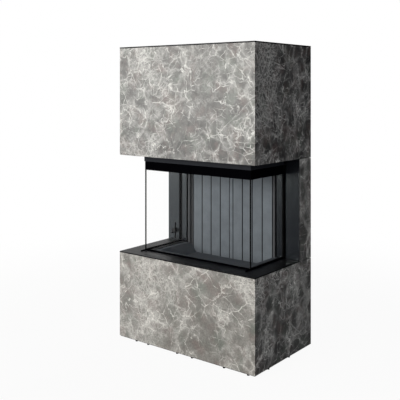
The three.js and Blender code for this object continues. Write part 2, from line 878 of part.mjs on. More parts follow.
// Door rails: channels that hold the edges of the panes
function doorRail([low, high], [grooveLow, grooveHigh]) {
  const rearY = stileFrontY - fit;
  const rail = upright(glassBand(-railLip, railInnerOffset, rearY), [low, high]);
  const groove = upright(glassBand(-fit, glassThickness + fit, rearY + overrun), [grooveLow, grooveHigh]);
  return rail.subtract(groove);
}

function bottomRail() {
  const top = doorBottom + bottomRailHeight;
  const rail = doorRail([doorBottom, top], [top - bottomGrooveDepth, top + overrun]);
  const lugs = sides.map(([, side]) => box(
    across(side, glassHalf - lugWidth, glassHalf),
    [glassFrontInset - lugLength, glassFrontInset - fit],
    [doorBottom, doorBottom + lugHeight],
  ));
  return joined([rail, ...lugs]);
}

function topRail() {
  return doorRail([bandBottom, doorTop], [bandBottom - overrun, bandBottom + topGrooveDepth]);
}

// Rear stile, guide shoe and cable clamp of one door side
function carriage(side) {
  const stileX = [stileInnerX, glassHalf + railLip];
  const stile = box(across(side, ...stileX), [stileFrontY, stileRearY], [doorBottom, doorTop]);
  const groove = box(
    across(side, glassHalf - glassThickness - fit, glassHalf + fit),
    [stileFrontY - overrun, stileFrontY + stileGrooveDepth],
    [doorBottom - overrun, doorTop + overrun],
  );
  const zRange = [carriageBottom, carriageTop];
  const clampOuterX = cableX + clampWidth / 2;
  const plateX = [stileInnerX, clampOuterX + plateReach];
  const plate = box(across(side, ...plateX), [stileRearY, carriageRearY], zRange);
  const shoeInnerX = guideX + guideWidth + shoeGap;
  const blockY = [carriageRearY, clampRearY];
  const shoe = box(across(side, shoeInnerX, shoeInnerX + shoeThickness), blockY, zRange);
  const clamp = box(across(side, cableX - clampWidth / 2, clampOuterX), blockY, zRange);
  const boreCentre = [side * cableX, liftRunY, (carriageBottom + carriageTop) / 2];
  const bore = bar(clampBore, carriageTop - carriageBottom + overrun, "z", boreCentre);
  return cut(joined([stile, plate, shoe, clamp]), [groove, bore]);
}

function buildDoor() {
  const group = subGroup();
  const paneBottom = doorBottom + bottomRailHeight - bottomGrooveDepth + fit;
  const paneTop = bandBottom + topGrooveDepth - fit;
  const paneHeight = paneTop - paneBottom;
  const paneMiddle = (paneBottom + paneTop) / 2;
  const frontWidth = (glassHalf - glassThickness - fit) * 2;
  const frontPane = toSolid(new THREE.BoxGeometry(frontWidth, glassThickness, paneHeight));
  place(group, "front_pane", frontPane, clearGlass, [0, glassFrontInset + glassThickness / 2, paneMiddle]);
  const sideFront = glassFrontInset + glassThickness + fit;
  const sideRear = stileFrontY + stileGrooveDepth - fit;
  const sealY = [glassFrontInset - railLip, glassFrontInset + glassThickness];
  const sealZ = [doorBottom + bottomRailHeight + fit, bandBottom - fit];
  for (const [label, side] of sides) {
    const pane = toSolid(new THREE.BoxGeometry(glassThickness, sideRear - sideFront, paneHeight));
    const paneX = side * (glassHalf - glassThickness / 2);
    place(group, `${label}_pane`, pane, clearGlass, [paneX, (sideFront + sideRear) / 2, paneMiddle]);
    const sealX = across(side, glassHalf - glassThickness, glassHalf + railLip);
    place(group, `${label}_corner_seal`, box(sealX, sealY, sealZ), darkSealant);
    place(group, `${label}_carriage`, carriage(side), blackSteel);
  }
  place(group, "door_bottom_rail", bottomRail(), blackSteel);
  place(group, "door_top_rail", topRail(), blackSteel);
}

// Mechanism plate with its fixing flange, guide bar, shaft bearing and idler pin
function mechanismPlate(side) {
  const zRange = [hearthTop + mechanismRise, bodyTop - mechanismDrop];
  const rearY = postRearY - postThickness - fit;
  const plate = box(across(side, mechanismX, guideX), [guideY, rearY], zRange);
  const flangeX = across(side, mechanismX - mechanismFlange, guideX);
  const flangeY = [backPlateRearY + fit, backPlateRearY + fit + mechanismPlateThickness];
  const flange = box(flangeX, flangeY, [zRange[0], hoodTaperBottom]);
  const guideRange = across(side, guideX - mechanismPlateThickness / 2, guideX + guideWidth);
  const guide = box(guideRange, [guideY, guideY + guideDepth], zRange);
  const bearingX = side * (guideX + bearingLength / 2 - mechanismPlateThickness / 2);
  const bearing = bar(bearingRadius, bearingLength, "x", [bearingX, shaftY, shaftLevel]);
  const shaftHoleCentre = [bearingX, shaftY, shaftLevel];
  const shaftHole = bar(shaftRadius + bearingGap, bearingLength + overrun, "x", shaftHoleCentre);
  const pinLength = cableOffset + pulleyWidth / 2 + pinEnd;
  const pinX = side * (guideX + pinLength / 2 - mechanismPlateThickness / 2);
  const pin = bar(idlerPinRadius, pinLength, "x", [pinX, shaftY, idlerLevel]);
  return joined([plate, flange, guide, bearing, pin]).subtract(shaftHole);
}

// Grooved pulley round the x axis, with its middle at the origin
function pulley(boreRadius) {
  const halfPulley = pulleyWidth / 2;
  const halfGroove = pulleyGrooveTop / 2;
  const rootRadius = pulleyPitchRadius - cableRadius - fit;
  const points = [
    [boreRadius, -halfPulley], [pulleyRimRadius, -halfPulley], [pulleyRimRadius, -halfGroove],
    [rootRadius, -cableRadius], [rootRadius, cableRadius], [pulleyRimRadius, halfGroove],
    [pulleyRimRadius, halfPulley], [boreRadius, halfPulley], [boreRadius, -halfPulley],
  ];
  const profile = points.map(([radius, x]) => new THREE.Vector2(radius, x));
  return turned(new THREE.LatheGeometry(profile, roundFaces), "x", [0, 0, 0]);
}

// Synchronising shaft with a pulley fixed on each end
function syncShaft() {
  const shaftLength = 2 * (cableX + pulleyWidth / 2 + pinEnd);
  const shaft = bar(shaftRadius, shaftLength, "x", [0, 0, 0]);
  const pulleys = sides.map(([, side]) => pulley(shaftRadius - fit).translate([side * cableX, 0, 0]));
  return joined([shaft, ...pulleys]);
}

// Cable loop over the shaft's pulley and round the idler: a ring pulled apart into two straight runs
function liftCable() {
  const bendSteps = roundFaces / 2;
  const loopSteps = 2 * (bendSteps + 1);
  const runLength = shaftLevel - idlerLevel;
  const loopPoint = (u, v, point) => {
    const step = Math.round(u * loopSteps) % loopSteps;
    const isLower = step > bendSteps;
    const bendStep = isLower ? step - 1 : step;
    const angle = (Math.PI * bendStep) / bendSteps;
    const around = 2 * Math.PI * v;
    const reach = pulleyPitchRadius + cableRadius * Math.cos(around);
    const drop = isLower ? runLength : 0;
    point.set(cableRadius * Math.sin(around), reach * Math.cos(angle), reach * Math.sin(angle) - drop);
  };
  return toSolid(new ParametricGeometry(loopPoint, loopSteps, cableFaces));
}

// Counterweight block, grooved for the rear run of the cable, with its lower edge at zero
function counterweight(side) {
  const height = weightTop - weightBottom;
  const block = box(across(side, weightInnerX, weightOuterX), [weightFrontY, weightRearY], [0, height]);
  const halfGroove = cableRadius + weightGrooveGap;
  const groove = box(
    across(side, cableX - halfGroove, cableX + halfGroove),
    [weightFrontY - overrun, weightRunY + halfGroove],
    [-overrun, height + overrun],
  );
  return block.subtract(groove);
}

function buildMechanism() {
  const group = subGroup();
  place(group, "sync_shaft", syncShaft(), bareSteel, [0, shaftY, shaftLevel]);
  for (const [label, side] of sides) {
    place(group, `${label}_mechanism_plate`, mechanismPlate(side), blackSteel);
    place(group, `${label}_lift_cable`, liftCable(), bareSteel, [side * cableX, shaftY, shaftLevel]);
    const idler = pulley(idlerPinRadius + bearingGap);
    place(group, `${label}_idler_pulley`, idler, bareSteel, [side * cableX, shaftY, idlerLevel]);
    place(group, `${label}_counterweight`, counterweight(side), castIron, [0, 0, weightBottom]);
  }
}

// Air control: a rod that carries the gate, and the knob in front of the left column
function airRod() {
  const upperEnd = knobLevel + rodRadius;
  const rod = bar(rodRadius, upperEnd - gateLevel, "z", [-controlX, rodY, (upperEnd + gateLevel) / 2]);
  const gateY = backPlateRearY - airBoxWall - gateGap;
  const armEnd = -gateWidth / 2 + gateLug;
  const arm = bar(rodRadius, controlX + armEnd, "x", [(armEnd - controlX) / 2, rodY, gateLevel]);
  const lug = box(
    [armEnd - gateLug, armEnd],
    [rodY, gateY],
    [gateLevel - gateLug / 2, gateLevel + gateLug / 2],
  );
  const gate = box(
    [-gateWidth / 2, gateWidth / 2],
    [gateY - gateThickness, gateY],
    [gateLevel - gateHeight / 2, gateLevel + gateHeight / 2],
  );
  const stemFront = columnInset - stemReach;
  const stem = bar(rodRadius, rodY - stemFront, "y", [-controlX, (rodY + stemFront) / 2, knobLevel]);
  return joined([rod, arm, lug, gate, stem]);
}

// Round knob on the slot, with a handle pin below its middle
function airKnob() {
  const rearY = -stemReach;
  const disc = bar(knobRadius, knobThickness, "y", [0, rearY - knobThickness / 2 - fit, 0]);
  const handleY = rearY - fit - knobThickness / 2 - handleLength / 2;
  const handle = bar(handleRadius, handleLength, "y", [0, handleY, -handleDrop]);
  return joined([disc, handle]);
}

function buildAirControl() {
  const group = subGroup();
  place(group, "air_rod", airRod(), bareSteel);
  place(group, "air_knob", airKnob(), blackKnob, [-controlX, columnInset, knobLevel]);
}

function buildCovers() {
  const group = subGroup();
  place(group, "top_lid", topLid(), blackSteel, [0, 0, bodyTop]);
  place(group, "rear_panel", rearPanel(), blackSteel);
}

buildPlinth();
buildFrame();
buildBlock("lower", footHeight, lowerBlockHeight);
buildBlock("upper", openingTop, upperBlockHeight);
buildSheetMetal();
buildFirebox();
buildDoor();
buildMechanism();
buildAirControl();
buildCovers();

export default stove;
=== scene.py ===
import json
import math

import bmesh
import bpy
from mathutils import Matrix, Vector


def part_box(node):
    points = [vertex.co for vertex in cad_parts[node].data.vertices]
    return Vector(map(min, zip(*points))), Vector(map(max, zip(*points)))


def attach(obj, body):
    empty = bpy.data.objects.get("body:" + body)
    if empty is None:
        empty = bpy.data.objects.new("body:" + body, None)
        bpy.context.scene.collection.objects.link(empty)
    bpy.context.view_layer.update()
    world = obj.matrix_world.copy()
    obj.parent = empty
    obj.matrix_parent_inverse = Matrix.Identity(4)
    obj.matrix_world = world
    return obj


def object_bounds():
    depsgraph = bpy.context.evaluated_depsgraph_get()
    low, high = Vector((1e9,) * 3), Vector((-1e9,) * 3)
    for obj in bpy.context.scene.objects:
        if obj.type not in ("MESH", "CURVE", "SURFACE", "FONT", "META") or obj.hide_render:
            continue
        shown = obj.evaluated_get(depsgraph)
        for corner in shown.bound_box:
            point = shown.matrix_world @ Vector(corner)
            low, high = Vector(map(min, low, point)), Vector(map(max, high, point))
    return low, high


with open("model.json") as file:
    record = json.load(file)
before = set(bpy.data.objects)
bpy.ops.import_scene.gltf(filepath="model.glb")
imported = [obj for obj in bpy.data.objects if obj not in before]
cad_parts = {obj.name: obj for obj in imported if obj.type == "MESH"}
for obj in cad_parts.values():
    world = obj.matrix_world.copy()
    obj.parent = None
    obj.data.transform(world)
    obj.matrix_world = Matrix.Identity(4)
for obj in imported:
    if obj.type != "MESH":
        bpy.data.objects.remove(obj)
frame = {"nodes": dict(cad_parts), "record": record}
cad_low, cad_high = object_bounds()
nodes = frame["nodes"]
scene = bpy.context.scene


# Node graphs

class Graph:
    """A material's node tree, built one call at a time."""

    def __init__(self, name):
        self.material = bpy.data.materials.new(name)
        self.material.use_nodes = True
        self.start(self.material.node_tree, "ShaderNodeOutputMaterial")

    @classmethod
    def on(cls, tree, output):
        """A graph on a node tree that already exists, such as the world's."""
        made = cls.__new__(cls)
        made.material = None
        made.start(tree, output)
        return made

    def start(self, tree, output):
        self.tree = tree
        self.tree.nodes.clear()
        self.output = self.tree.nodes.new(output)

    def put(self, socket, value):
        if isinstance(value, bpy.types.NodeSocket):
            self.tree.links.new(value, socket)
        elif isinstance(value, (tuple, list)) and socket.type == "RGBA" and len(value) == 3:
            socket.default_value = (*value, 1.0)
        else:
            socket.default_value = value

    def node(self, kind, settings=None, **inputs):
        made = self.tree.nodes.new("ShaderNode" + kind)
        for key, value in (settings or {}).items():
            setattr(made, key, value)
        for key, value in inputs.items():
            self.put(made.inputs[key.replace("_", " ")], value)
        return made

    def place(self, shift=(0, 0, 0), turn=(0, 0, 0), size=(1, 1, 1)):
        """Object coordinates, in metres, shifted, turned and stretched."""
        where = self.node("TexCoord").outputs["Object"]
        made = self.node("Mapping", Vector=where, Location=shift, Rotation=turn, Scale=size)
        return made.outputs["Vector"]

    def noise(self, where, size, detail=3.0, rough=0.5):
        made = self.node("TexNoise", Vector=where, Scale=size, Detail=detail, Roughness=rough)
        return made.outputs["Fac"]

    def add(self, a, b):
        made = self.node("VectorMath", {"operation": "ADD"})
        self.put(made.inputs[0], a)
        self.put(made.inputs[1], b)
        return made.outputs["Vector"]

    def bend(self, where, size, detail, reach):
        """Places pushed about by noise, by up to about this many metres."""
        made = self.node("TexNoise", Vector=where, Scale=size, Detail=detail, Roughness=0.55)
        centred = self.node("VectorMath", {"operation": "SUBTRACT"})
        self.put(centred.inputs[0], made.outputs["Color"])
        centred.inputs[1].default_value = (0.5, 0.5, 0.5)
        scaled = self.node("VectorMath", {"operation": "SCALE"}, Scale=reach)
        self.put(scaled.inputs[0], centred.outputs["Vector"])
        return self.add(where, scaled.outputs["Vector"])

    def ramp(self, value, low, high, start=0.0, end=1.0):
        """value from low to high becomes start to end, with soft ends, and stays there beyond."""
        made = self.node("MapRange", {"interpolation_type": "SMOOTHSTEP"})
        self.put(made.inputs["Value"], value)
        for key, number in zip(("From Min", "From Max", "To Min", "To Max"), (low, high, start, end)):
            made.inputs[key].default_value = number
        return made.outputs["Result"]

    def math(self, operation, a, b=0.0):
        made = self.node("Math", {"operation": operation})
        self.put(made.inputs[0], a)
        self.put(made.inputs[1], b)
        return made.outputs["Value"]

    def times(self, a, b):
        return self.math("MULTIPLY", a, b)

    def larger(self, a, b):
        return self.math("MAXIMUM", a, b)

    def mix(self, share, a, b, blend="MIX"):
        made = self.node("Mix", {"data_type": "RGBA", "blend_type": blend})
        self.put(made.inputs[0], share)
        self.put(made.inputs[6], a)
        self.put(made.inputs[7], b)
        return made.outputs[2]

    def blend(self, share, a, b):
        """A number between a and b, by share."""
        made = self.node("Mix", {"data_type": "FLOAT"})
        for place, value in zip((0, 2, 3), (share, a, b)):
            self.put(made.inputs[place], value)
        return made.outputs[0]

    def cells(self, where, size, feature="DISTANCE_TO_EDGE", output="Distance"):
        made = self.node("TexVoronoi", {"feature": feature}, Vector=where, Scale=size)
        return made.outputs[output]

    def cell_tone(self, where, size):
        """One random level for each cell."""
        made = self.node("SeparateColor")
        self.put(made.inputs[0], self.cells(where, size, "F1", "Color"))
        return made.outputs[0]

    def bump(self, height, strength, depth):
        made = self.node("Bump", Height=height, Strength=strength, Distance=depth)
        return made.outputs["Normal"]

    def finish(self, shader):
        self.tree.links.new(shader, self.output.inputs["Surface"])
        return self.material

    def principled(self, specular=0.5, metallic=0.0, **inputs):
        made = self.node("BsdfPrincipled", **inputs)
        made.inputs["Specular IOR Level"].default_value = specular
        made.inputs["Metallic"].default_value = metallic
        return made.outputs["BSDF"]


def srgb(red, green, blue):
    """Linear colour of an sRGB colour given in 0 to 255."""
    shares = [level / 255 for level in (red, green, blue)]
    return tuple(s / 12.92 if s < 0.04 else ((s + 0.055) / 1.055) ** 2.4 for s in shares)


def scaled(colour, factor, lift=0.0):
    return tuple(level * factor + lift for level in colour)


# Materials

clasts_per_metre = 10.5
small_clasts_per_metre = 27.0
red_tint = srgb(116, 97, 95)
green_tint = srgb(92, 104, 96)
# Near black for soot and painted shade in the lining's grooves
soot_and_shade = srgb(9, 9, 10)
glass_index = 1.45


def stone(name, shift, dark, middle, pale, vein, rough, specular):
    """Polished breccia: dark clasts in a pale cloudy ground, with straight and netted white veins."""
    g = Graph(name)
    base = g.place(shift, (0.35, 0.55, 0.2))
    bent = g.bend(g.bend(base, 4.0, 4.0, 0.13), 14.0, 5.0, 0.055)
    fine = g.bend(bent, 70.0, 4.0, 0.014)

    def zones(where, size, low, high, most=1.0):
        """Areas where something shows, with soft borders."""
        return g.ramp(g.noise(where, size, 4.0, 0.6), low, high, 0.0, most)

    def lines(distance, width):
        return g.ramp(distance, 0.0, width, 1.0, 0.0)

    def contour(where, size, detail, width):
        """Thin lines that wander where a noise crosses its middle."""
        off = g.math("ABSOLUTE", g.math("SUBTRACT", g.noise(where, size, detail, 0.6), 0.5))
        return lines(off, width)

    slanted = g.bend(g.place(shift, (0.5, 0.2, 0.9), (1.0, 2.2, 1.0)), 7.0, 3.0, 0.08)
    crossing = g.bend(g.place(shift, (0.3, 0.8, -0.7), (1.0, 1.0, 2.4)), 6.0, 3.0, 0.05)
    dense = zones(slanted, 2.6, 0.49, 0.64)

    clast = g.cells(bent, clasts_per_metre)
    clast_tone = g.cell_tone(bent, clasts_per_metre)
    core = g.times(g.ramp(clast, 0.05, 0.24), g.ramp(clast_tone, 0.3, 0.55))
    small_clast = g.cells(fine, small_clasts_per_metre)
    small_tone = g.cell_tone(fine, small_clasts_per_metre)
    ground = g.math("ADD", g.times(clast_tone, 0.3), g.times(g.noise(bent, 10.0, 8.0, 0.7), 0.6))
    ground = g.math("ADD", ground, g.times(small_tone, 0.22))
    colour = g.mix(g.ramp(ground, 0.4, 0.86), dark, middle)
    colour = g.mix(zones(base, 13.0, 0.46, 0.66, 0.42), colour, red_tint)
    cool = zones(g.add(base, (3.1, 1.7, 0.4)), 10.0, 0.48, 0.68, 0.42)
    colour = g.mix(cool, colour, green_tint)
    cloud = g.larger(g.times(lines(clast, 0.2), zones(base, 4.5, 0.4, 0.6, 0.8)), g.times(dense, 0.45))
    cloud = g.larger(cloud, g.times(zones(fine, 9.0, 0.48, 0.72), 0.8))
    cloud = g.times(cloud, g.ramp(g.noise(fine, 30.0, 5.0, 0.7), 0.3, 0.62, 0.35, 1.0))
    cloud = g.times(cloud, g.ramp(core, 0.0, 1.0, 1.0, 0.25))
    colour = g.mix(g.times(core, 0.4), colour, dark)
    colour = g.mix(g.times(cloud, 0.85), colour, pale)
    colour = g.mix(g.times(g.times(lines(small_clast, 0.22), dense), 0.4), colour, pale)

    breaks = g.ramp(g.noise(fine, 42.0, 3.0, 0.6), 0.36, 0.56, 0.3, 1.0)
    net = g.times(lines(g.cells(fine, clasts_per_metre), 0.035), zones(base, 6.5, 0.46, 0.64, 0.8))
    long_veins = g.times(contour(fine, 4.2, 3.0, 0.008), zones(base, 5.0, 0.46, 0.6))
    rays = g.times(lines(g.cells(slanted, 9.0), 0.026), zones(base, 8.0, 0.47, 0.62, 0.9))
    cross_rays = g.times(lines(g.cells(crossing, 8.0), 0.022), zones(base, 7.0, 0.49, 0.64, 0.9))
    small_net = g.times(lines(g.cells(fine, 21.0), 0.07), zones(bent, 9.0, 0.46, 0.64))
    crackle = g.times(lines(g.cells(fine, 46.0), 0.14), dense)
    veins = g.larger(g.larger(net, long_veins), g.larger(rays, cross_rays))
    veins = g.times(g.larger(veins, g.times(small_net, 0.75)), breaks)
    veins = g.larger(veins, g.times(crackle, 0.5))
    colour = g.mix(g.times(veins, 0.9), colour, vein)
    mottle = g.ramp(g.noise(base, 120.0, 4.0, 0.7), 0.3, 0.7, 0.78, 1.2)
    colour = g.mix(1.0, colour, mottle, "MULTIPLY")

    gloss = g.ramp(g.noise(base, 55.0, 4.0), 0.3, 0.7, rough - 0.05, rough + 0.05)
    normal = g.bump(g.math("ADD", g.times(veins, 0.4), g.noise(base, 180.0, 3.0)), 0.12, 0.0006)
    return g.finish(g.principled(specular, Base_Color=colour, Roughness=gloss, Normal=normal))


def coated(name, colour, rough, peel=0.25, specular=0.5, wear=0.35, tint=(1.0, 1.0, 1.0)):
    """Powder-coated sheet metal: fine orange peel, gloss a little patchy, and a trace of dust."""
    g = Graph(name)
    base = g.place()
    patch = g.ramp(g.noise(base, 14.0, 4.0, 0.6), 0.35, 0.7, 0.0, wear)
    worn = g.mix(patch, colour, scaled(colour, 1.5, 0.001))
    speck = g.ramp(g.noise(base, 420.0, 2.0), 0.62, 0.75, 0.0, wear / 3)
    worn = g.mix(speck, worn, scaled(colour, 2.4, 0.01))
    patchy = wear / 6
    gloss = g.ramp(g.noise(base, 38.0, 5.0, 0.6), 0.3, 0.7, rough - patchy, rough + patchy)
    normal = g.bump(g.noise(base, 700.0, 2.0), peel, 0.0002)
    shader = g.principled(specular, Base_Color=worn, Roughness=gloss, Normal=normal, Specular_Tint=tint)
    return g.finish(shader)


def metal(name, colour, rough, marks_size, grain=(1, 1, 1)):
    """Bare metal, with drawing or casting marks stretched along one axis."""
    g = Graph(name)
    marks = g.noise(g.place(size=grain), marks_size, 3.0, 0.6)
    shade = g.mix(g.ramp(marks, 0.3, 0.7), scaled(colour, 0.7), colour)
    gloss = g.ramp(marks, 0.25, 0.75, rough - 0.08, rough + 0.1)
    normal = g.bump(marks, 0.25, 0.0003)
    return g.finish(g.principled(0.5, 1.0, Base_Color=shade, Roughness=gloss, Normal=normal))


def ceramic(name, colour, coarse=1.0, soot_shade_from=None, soot_shade_depth=0.002):
    """Dull fired board: blotches, grit, pores, and soot with painted shade darkening the grooves behind
    a given plane of y.
    """
    g = Graph(name)
    base = g.place()
    blotch = g.ramp(g.noise(base, 16.0, 5.0, 0.6), 0.3, 0.7)
    shade = g.mix(blotch, scaled(colour, 0.9), scaled(colour, 1.08))
    grit = g.noise(base, 330.0 * coarse, 3.0, 0.65)
    shade = g.mix(g.ramp(grit, 0.55, 0.75, 0.0, 0.35), shade, scaled(colour, 1.8))
    pores = g.ramp(g.cells(base, 190.0 * coarse, "F1"), 0.05, 0.2, 1.0, 0.0)
    shade = g.mix(g.times(pores, 0.35), shade, scaled(colour, 0.4))
    # Soot and painted shade: darker in the grooves behind the plane
    if soot_shade_from:
        axes = g.node("SeparateXYZ")
        g.put(axes.inputs[0], base)
        soot_shaded = g.ramp(axes.outputs["Y"], soot_shade_from, soot_shade_from + soot_shade_depth, 0.0, 0.9)
        shade = g.mix(soot_shaded, shade, soot_and_shade)
    height = g.math("SUBTRACT", grit, g.times(pores, 0.5))
    rough = g.ramp(grit, 0.3, 0.7, 0.82, 0.95)
    normal = g.bump(height, 0.5, 0.0005)
    return g.finish(g.principled(Base_Color=shade, Roughness=rough, Normal=normal))


def glass(name, mirror_share):
    """Clear glass ceramic: lets everything through, with a weak mirror on its outer faces."""
    g = Graph(name)
    film = g.ramp(g.noise(g.place(), 9.0, 4.0, 0.6), 0.35, 0.75, 0.01, 0.05)
    through = g.node("BsdfTransparent", Color=(1, 1, 1))
    mirror = g.node("BsdfGlossy", Color=(1, 1, 1), Roughness=film)
    fresnel = g.node("Fresnel")
    fresnel.inputs["IOR"].default_value = glass_index
    outside = g.math("SUBTRACT", 1.0, g.node("NewGeometry").outputs["Backfacing"])
    both = g.node("MixShader")
    g.put(both.inputs[0], g.times(g.times(fresnel.outputs[0], outside), mirror_share))
    g.put(both.inputs[1], through.outputs[0])
    g.put(both.inputs[2], mirror.outputs[0])
    return g.finish(both.outputs[0])


def rubber(name, colour, rough, specular=0.5):
    """Silicone or a moulded knob: a skin with a fine grain."""
    g = Graph(name)
    base = g.place()
    grain = g.noise(base, 900.0, 2.0)
    shade = g.mix(g.ramp(g.noise(base, 60.0, 3.0), 0.3, 0.7), colour, scaled(colour, 1.7, 0.002))
    gloss = g.ramp(grain, 0.3, 0.7, rough - 0.08, rough + 0.08)
    normal = g.bump(grain, 0.3, 0.0002)
    return g.finish(g.principled(specular, Base_Color=shade, Roughness=gloss, Normal=normal))


# The plane behind which the lining's grooves take soot and painted shade
soot_shade_gap = 0.0002
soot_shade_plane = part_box("lining_strip")[0][1] + soot_shade_gap

stone_upper = stone("stone_upper", shift=(0.0, 0.0, 0.0), dark=srgb(55, 55, 56),
                    middle=srgb(104, 104, 104), pale=srgb(160, 160, 160),
                    vein=srgb(220, 220, 219), rough=0.35, specular=0.5)
stone_lower = stone("stone_lower", shift=(1.7, 0.6, 2.3), dark=srgb(111, 109, 106),
                    middle=srgb(142, 140, 137), pale=srgb(183, 182, 180),
                    vein=srgb(222, 220, 217), rough=0.45, specular=0.7)
# Darker copies of the two stones, painted shade for the slabs at the sides and in the columns
shaded_side_upper = stone("shaded_side_upper", shift=(0.9, 0.0, 1.1), dark=srgb(38, 38, 40),
                   middle=srgb(82, 82, 83), pale=srgb(148, 148, 148),
                   vein=srgb(240, 240, 239), rough=0.35, specular=0.5)
shaded_side_lower = stone("shaded_side_lower", shift=(1.7, 0.6, 2.3), dark=srgb(66, 66, 67),
                   middle=srgb(105, 105, 105), pale=srgb(166, 166, 165),
                   vein=srgb(240, 240, 239), rough=0.45, specular=0.5)
black_steel = coated("black_steel", srgb(15, 15, 17), 0.5, specular=0.12)
band_black = coated("band_black", srgb(3, 3, 5), 0.5, specular=0.0, wear=0.15)
hearth_black = coated("hearth_black", srgb(12, 12, 16), 0.4, peel=0.06, specular=0.1, wear=0.1)
grey_steel = coated("grey_steel", srgb(24, 26, 31), 0.2, peel=0.04, specular=0.58, wear=0.06,
                    tint=(0.85, 0.96, 1.0))
zinc_paint = coated("zinc_paint", srgb(104, 107, 110), 0.45, specular=0.3, wear=0.2)
trim_steel = coated("trim_steel", srgb(34, 36, 42), 0.5, specular=0.05, wear=0.15)
bare_steel = metal("bare_steel", srgb(170, 172, 176), 0.35, grain=(1, 1, 12), marks_size=260.0)
cable_steel = metal("cable_steel", srgb(160, 160, 164), 0.35, marks_size=700.0)
cast_iron = metal("cast_iron", srgb(86, 86, 90), 0.55, marks_size=420.0)
galvanised = metal("galvanised", srgb(150, 153, 157), 0.42, marks_size=90.0)
fireclay = ceramic("fireclay", srgb(101, 108, 116), soot_shade_from=soot_shade_plane)
# A darker copy of the fireclay for the firebox floor and borders: painted shade
shaded_floor_clay = ceramic("shaded_floor_clay", srgb(77, 83, 91))
# A still darker copy of the fireclay for the lining returns: painted shade
shaded_return_clay = ceramic("shaded_return_clay", srgb(70, 72, 76))
vermiculite = ceramic("vermiculite", srgb(160, 146, 122), coarse=0.6)
clear_glass = glass("clear_glass", mirror_share=0.25)
dark_sealant = rubber("dark_sealant", srgb(6, 6, 8), 0.25, specular=0.06)
black_knob = rubber("black_knob", srgb(8, 8, 10), 0.3, specular=0.2)
foot_rubber = rubber("foot_rubber", srgb(3, 3, 4), 0.5, specular=0.02)

finishes = {
    stone_upper: ["upper_front_slab"],
    shaded_side_upper: ["upper_left_slab", "upper_right_slab"],
    stone_lower: ["lower_front_slab"],
    shaded_side_lower: ["lower_left_slab", "lower_right_slab", "left_column_slab", "right_column_slab"],
    hearth_black: ["hearth_plate", "firebox_shell"],
    band_black: ["door_top_rail", "door_bottom_rail"],
    trim_steel: ["trim_frame"],
    grey_steel: ["left_column_panel", "right_column_panel", "left_cheek_panel", "right_cheek_panel"],
    galvanised: ["base_tray", "upper_carrier", "left_post", "right_post", "left_stand_panel",
                 "right_stand_panel"],
    bare_steel: ["sync_shaft", "left_idler_pulley", "right_idler_pulley"],
    cable_steel: ["left_lift_cable", "right_lift_cable"],
    cast_iron: ["left_counterweight", "right_counterweight"],
    zinc_paint: ["rear_panel"],
    fireclay: ["lining_strip", "left_lining_board", "right_lining_board"],
    shaded_return_clay: ["left_lining_return", "right_lining_return"],
    shaded_floor_clay: ["front_border", "left_border", "right_border", "floor_slab"],
    vermiculite: ["baffle_plate"],
    clear_glass: ["front_pane", "left_pane", "right_pane"],
    dark_sealant: ["left_corner_seal", "right_corner_seal"],
    black_knob: ["air_knob"],
}
chosen = {node: made for made, group in finishes.items() for node in group}
for name, thing in nodes.items():
    for place in thing.material_slots:
        place.material = chosen.get(name, black_steel)


# Eased edges on the solids

smooth_angle = math.radians(32)
plane_angle = math.radians(0.4)
weld_distance = 0.00001
plain_edge = 0.0005
bevel_segments = 2
stone_edge = 0.0012
edge_widths = {stone_upper: stone_edge, stone_lower: stone_edge, shaded_side_upper: stone_edge,
               shaded_side_lower: stone_edge, fireclay: 0.0009, cast_iron: 0.0012,
               black_knob: 0.002, dark_sealant: 0.0016, hearth_black: 0.0007, clear_glass: 0.0004,
               trim_steel: 0.0006}


def smoothing():
    """A node group that shades faces smooth and keeps edges sharper than its angle."""
    group = bpy.data.node_groups.new("smooth_by_angle", "GeometryNodeTree")
    group.interface.new_socket("Geometry", in_out="INPUT", socket_type="NodeSocketGeometry")
    group.interface.new_socket("Geometry", in_out="OUTPUT", socket_type="NodeSocketGeometry")
    start = group.nodes.new("NodeGroupInput")
    end = group.nodes.new("NodeGroupOutput")
    angle = group.nodes.new("GeometryNodeInputMeshEdgeAngle")
    small = group.nodes.new("FunctionNodeCompare")
    small.data_type = "FLOAT"
    small.operation = "LESS_EQUAL"
    small.inputs["B"].default_value = smooth_angle
    edges = group.nodes.new("GeometryNodeSetShadeSmooth")
    edges.domain = "EDGE"
    faces = group.nodes.new("GeometryNodeSetShadeSmooth")
    faces.domain = "FACE"
    link = group.links.new
    link(start.outputs[0], edges.inputs["Geometry"])
    link(angle.outputs["Unsigned Angle"], small.inputs["A"])
    link(small.outputs["Result"], edges.inputs["Shade Smooth"])
    link(edges.outputs["Geometry"], faces.inputs["Geometry"])
    link(faces.outputs["Geometry"], end.inputs[0])
    return group


smooth_group = smoothing()


def ease(thing, width):
    """Joins the solid's split corners, rounds its edges by width and smooths its round faces."""
    weld = thing.modifiers.new("weld", "WELD")
    weld.merge_threshold = weld_distance
    flat = thing.modifiers.new("planes", "DECIMATE")
    flat.decimate_type = "DISSOLVE"
    flat.angle_limit = plane_angle
    if width:
        bevel = thing.modifiers.new("edges", "BEVEL")
        bevel.width = width
        bevel.segments = bevel_segments
        bevel.limit_method = "ANGLE"
        bevel.angle_limit = smooth_angle
        bevel.harden_normals = False
    smooth = thing.modifiers.new("smooth", "NODES")
    smooth.node_group = smooth_group
    even = thing.modifiers.new("normals", "WEIGHTED_NORMAL")
    even.keep_sharp = True


for name, thing in nodes.items():
    width = edge_widths.get(chosen.get(name), plain_edge)
    ease(thing, 0 if name.endswith("lift_cable") else width)


# Small pieces that the solids leave out: caps on the feet, a bead and seals in the openings, and screws

